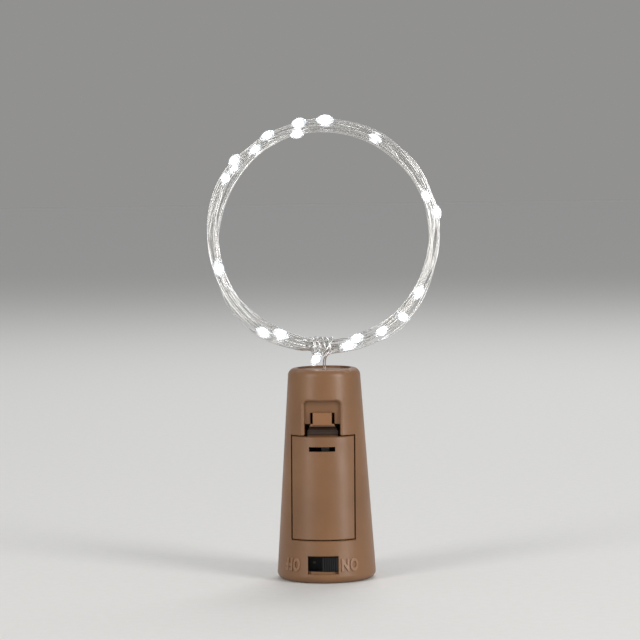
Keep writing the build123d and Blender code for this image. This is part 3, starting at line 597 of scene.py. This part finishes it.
def noise(tree, scale, detail, stretch=(1, 1, 1)):
    """Noise in the piece's own metres."""
    coords = tree.nodes.new("ShaderNodeTexCoord")
    mapping = tree.nodes.new("ShaderNodeMapping")
    mapping.inputs["Scale"].default_value = stretch
    texture = tree.nodes.new("ShaderNodeTexNoise")
    texture.inputs["Scale"].default_value = scale
    texture.inputs["Detail"].default_value = detail
    tree.links.new(coords.outputs["Object"], mapping.inputs["Vector"])
    tree.links.new(mapping.outputs[0], texture.inputs["Vector"])
    return texture.outputs[0]


def blend(tree, source, dark, light, spread=NOISE_SPREAD):
    """Colour that runs from dark to light over the middle of a noise."""
    node = tree.nodes.new("ShaderNodeValToRGB")
    for element, place, color in zip(node.color_ramp.elements, spread, (dark, light)):
        element.position = place
        element.color = (*color, 1)
    tree.links.new(source, node.inputs[0])
    return node.outputs[0]


def span(tree, source, low, high):
    """Value that runs from low to high over the middle of a noise."""
    node = tree.nodes.new("ShaderNodeMapRange")
    node.inputs["From Min"].default_value, node.inputs["From Max"].default_value = NOISE_SPREAD
    node.inputs["To Min"].default_value = low
    node.inputs["To Max"].default_value = high
    tree.links.new(source, node.inputs["Value"])
    return node.outputs[0]


def grained(tree, shader):
    """Fine grain of a moulded surface."""
    node = tree.nodes.new("ShaderNodeBump")
    node.inputs["Strength"].default_value = GRAIN_STRENGTH
    node.inputs["Distance"].default_value = GRAIN_DEPTH
    tree.links.new(noise(tree, GRAIN_SCALE, 6), node.inputs["Height"])
    tree.links.new(node.outputs[0], shader.inputs["Normal"])


def moulded(name, dark, light, rough, coat=0.0, specular=0.5):
    """Moulded plastic: slow shade, fine grain and uneven gloss."""
    material, tree, shader = new_material(name)
    shade = blend(tree, noise(tree, SHADE_SCALE, 3), dark, light, MOULDED_SPREAD)
    tree.links.new(shade, shader.inputs["Base Color"])
    gloss = span(tree, noise(tree, GLOSS_SCALE, 5), *rough)
    tree.links.new(gloss, shader.inputs["Roughness"])
    grained(tree, shader)
    shader.inputs["Coat Weight"].default_value = coat
    shader.inputs["Coat Roughness"].default_value = COAT_ROUGHNESS
    shader.inputs["Specular IOR Level"].default_value = specular
    return material


def shaded_bend(material, clear_height, dark_height):
    """Darken a plastic between two heights and past them, where the latch's bend lies in shadow."""
    tree = material.node_tree
    shader = next(node for node in tree.nodes if node.type == "BSDF_PRINCIPLED")
    plain = shader.inputs["Base Color"].links[0].from_socket
    coords = tree.nodes.new("ShaderNodeTexCoord")
    split = tree.nodes.new("ShaderNodeSeparateXYZ")
    share = tree.nodes.new("ShaderNodeMapRange")
    share.inputs["From Min"].default_value = clear_height * MM
    share.inputs["From Max"].default_value = dark_height * MM
    mix = tree.nodes.new("ShaderNodeMixRGB")
    mix.inputs[2].default_value = (*SHADE_TONE, 1)
    tree.links.new(coords.outputs["Object"], split.inputs[0])
    tree.links.new(split.outputs[2], share.inputs["Value"])
    tree.links.new(share.outputs[0], mix.inputs[0])
    tree.links.new(plain, mix.inputs[1])
    tree.links.new(mix.outputs[0], shader.inputs["Base Color"])
    return material


def metal(name, dark, light, rough, scale=STAIN_SCALE, stretch=(1, 1, 1)):
    """Metal with faint stains and uneven gloss."""
    material, tree, shader = new_material(name)
    stains = blend(tree, noise(tree, scale, 4, stretch), dark, light, METAL_SPREAD)
    tree.links.new(stains, shader.inputs["Base Color"])
    gloss = span(tree, noise(tree, scale * STREAK_GAIN, 4, stretch), *rough)
    tree.links.new(gloss, shader.inputs["Roughness"])
    shader.inputs["Metallic"].default_value = 1.0
    return material


def clear_resin(name):
    """Clear resin that scatters the light of its core."""
    material, tree, shader = new_material(name)
    cloud = noise(tree, 900, 3)
    tree.links.new(blend(tree, cloud, (0.86, 0.92, 1.0), WHITE), shader.inputs["Base Color"])
    tree.links.new(blend(tree, cloud, (0.80, 0.90, 1.0), WHITE), shader.inputs["Emission Color"])
    shader.inputs["Emission Strength"].default_value = 0.10
    shader.inputs["Roughness"].default_value = 0.06
    shader.inputs["Transmission Weight"].default_value = 0.92
    shader.inputs["IOR"].default_value = 1.46
    return material


def lit(name):
    """Glowing core of a bead."""
    material, tree, shader = new_material(name)
    cloud = noise(tree, 1500, 2)
    tree.links.new(blend(tree, cloud, (0.92, 0.97, 1.0), WHITE), shader.inputs["Emission Color"])
    shader.inputs["Base Color"].default_value = (1.0, 0.98, 0.92, 1)
    shader.inputs["Emission Strength"].default_value = 3.0
    return material


def matt_floor(name):
    """Pale and almost even floor."""
    material, tree, shader = new_material(name)
    tone = blend(tree, noise(tree, 400, 3), (0.68, 0.675, 0.66), (0.70, 0.695, 0.68))
    tree.links.new(tone, shader.inputs["Base Color"])
    shader.inputs["Roughness"].default_value = 0.75
    shader.inputs["Specular IOR Level"].default_value = 0.15
    return material


def make_plastics():
    """Moulded materials by slot, and for single pieces by name: dark and light tone, range of roughness."""
    brown = (0.170, 0.082, 0.036), (0.215, 0.108, 0.049), (0.36, 0.46)
    # Latch: the cover's plastic painted lighter and more orange, standing in for light shining through the
    # thin tab
    painted_lit_orange_brown = (0.225, 0.102, 0.041), (0.270, 0.128, 0.053), (0.30, 0.40)
    # Letters: the cork's own plastic painted lighter, a painted highlight where the raised letters catch
    # the light
    painted_lit_brown = (0.215, 0.111, 0.055), (0.268, 0.142, 0.073), (0.30, 0.40)
    tray_brown = (0.20, 0.112, 0.062), (0.25, 0.142, 0.080), (0.45, 0.6)
    black = (0.008, 0.008, 0.009), (0.014, 0.014, 0.016), (0.45, 0.6)
    gasket_black = (0.015, 0.015, 0.015), (0.03, 0.03, 0.03), (0.5, 0.65)
    green = (0.035, 0.17, 0.065), (0.06, 0.25, 0.10), (0.35, 0.5)
    dark_grey = (0.02, 0.02, 0.024), (0.045, 0.045, 0.05), (0.4, 0.6)
    milky = (0.70, 0.66, 0.56), (0.84, 0.80, 0.70), (0.25, 0.4)
    red = (0.42, 0.022, 0.015), (0.54, 0.035, 0.022), (0.35, 0.5)
    cover = moulded("cover plastic", *brown, coat=0.1, specular=0.4)
    latch = moulded("latch plastic painted lit and shaded", *painted_lit_orange_brown, coat=0.1)
    return {
        "cork_plastic": moulded("cork plastic", *brown, coat=0.1, specular=0.4),
        "battery_cover": shaded_bend(cover, *COVER_SHADE),
        "latch_plastic": shaded_bend(latch, *LATCH_SHADE),
        "letters": moulded("letter plastic painted lit", *painted_lit_brown),
        "tray_plastic": moulded("tray plastic", *tray_brown),
        "switch_plastic": moulded("switch plastic", *black, specular=0.25),
        "cell_gasket": moulded("cell gasket", *gasket_black),
        "board": moulded("board laminate", *green),
        "resistor_ceramic": moulded("resistor ceramic", *dark_grey),
        "glue": moulded("milky glue", *milky),
        "lead_sleeve": moulded("lead sleeve", *red),
    }


def make_metals():
    """Metals by slot: dark and light tone, range of roughness, scale and stretch of the stains."""
    spring_steel = (0.52, 0.52, 0.50), (0.68, 0.68, 0.66), (0.22, 0.35)
    dull_brass = (0.07, 0.052, 0.028), (0.12, 0.088, 0.046), (0.45, 0.6)
    can_steel = (0.50, 0.50, 0.485), (0.57, 0.57, 0.555), (0.26, 0.34)
    silver = (0.72, 0.71, 0.69), (0.86, 0.86, 0.85), (0.24, 0.32)
    return {
        "contact_steel": metal("contact steel", *spring_steel),
        "contact_brass": metal("contact brass", *dull_brass),
        "cell_steel": metal("cell steel", *can_steel, scale=120, stretch=(1, 1, 9)),
        "silver_wire": metal("silver wire", *silver, scale=45),
    }


def make_materials():
    """Every material by its slot, or by the name of a single piece."""
    lights = {"bead_resin": clear_resin("bead resin"), "light_chip": lit("light core")}
    return {**make_plastics(), **make_metals(), **lights}


# Stage
def make_stage():
    """Plain pale floor."""
    builder = bmesh.new()
    bmesh.ops.create_circle(builder, cap_ends=True, segments=FLOOR_SIDES, radius=FLOOR_RADIUS)
    mesh = bpy.data.meshes.new("floor")
    builder.to_mesh(mesh)
    builder.free()
    floor = new_object("floor", mesh, matt_floor("pale floor"))
    floor.location.z = FLOOR_Z


def make_light(name, azimuth, distance, height, width, length, power, tint):
    """Soft box that points at the cork."""
    data = bpy.data.lights.new(name, "AREA")
    data.shape = "RECTANGLE"
    data.size = width
    data.size_y = length
    data.energy = power
    data.color = tint
    lamp = link(bpy.data.objects.new(name, data))
    angle = radians(azimuth)
    lamp.location = (sin(angle) * distance, -cos(angle) * distance, height)
    lamp.rotation_mode = "QUATERNION"
    lamp.rotation_quaternion = (LIGHT_TARGET - lamp.location).to_track_quat("-Z", "Y")


def make_world():
    """Soft light from all round, and a plain grey behind the object."""
    world = bpy.data.worlds.new("studio")
    world.use_nodes = True
    nodes, links = world.node_tree.nodes, world.node_tree.links
    around = nodes["Background"]
    around.inputs["Color"].default_value = ROOM_TONE
    behind = nodes.new("ShaderNodeBackground")
    behind.inputs["Color"].default_value = BACKDROP_TONE
    rays = nodes.new("ShaderNodeLightPath")
    mix = nodes.new("ShaderNodeMixShader")
    links.new(rays.outputs["Is Camera Ray"], mix.inputs[0])
    links.new(around.outputs[0], mix.inputs[1])
    links.new(behind.outputs[0], mix.inputs[2])
    links.new(mix.outputs[0], nodes["World Output"].inputs[0])
    bpy.context.scene.world = world
    bpy.context.scene.view_settings.view_transform = "Standard"


# Pieces and bodies
def string_and_beads(materials):
    """Make the string with its lights and put it in place of its solids."""
    path = spline_path(route_points())
    length = sum((after - before).length for before, after in zip(path, path[1:]))
    print("string length in metres", round(length, 4))
    string = make_string(path, materials["silver_wire"])
    beads, cores = make_beads(path, materials["bead_resin"], materials["light_chip"])
    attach(string, "cork")
    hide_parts("wire_tail", "wire_coil", "wire_tie")
    for number, bead in enumerate(beads, 1):
        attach(bead, "cork")
        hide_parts(f"light_bead_{number:02d}")
    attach(cores, "cork")
    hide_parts("light_chips")


def dress_solids(materials):
    """Give each solid node its material, by its own name or else by its slot."""
    for row in frame["record"]["subparts"]:
        finish = materials.get(row["node"]) or materials[row["material_slot"]]
        for place in frame["nodes"][row["node"]].material_slots:
            place.material = finish


def add_words(material):
    """Raised words on both sides of the switch."""
    for word, name, angle_from, angle_to in WORDS:
        piece = make_word(word, name, angle_from, angle_to, material)
        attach(piece, "cork")


def main():
    """Build the scene round the solids."""
    make_camera()
    materials = make_materials()
    string_and_beads(materials)
    dress_solids(materials)
    add_words(materials["letters"])
    make_stage()
    for soft_box in SOFT_BOXES:
        make_light(*soft_box)
    make_world()


main()
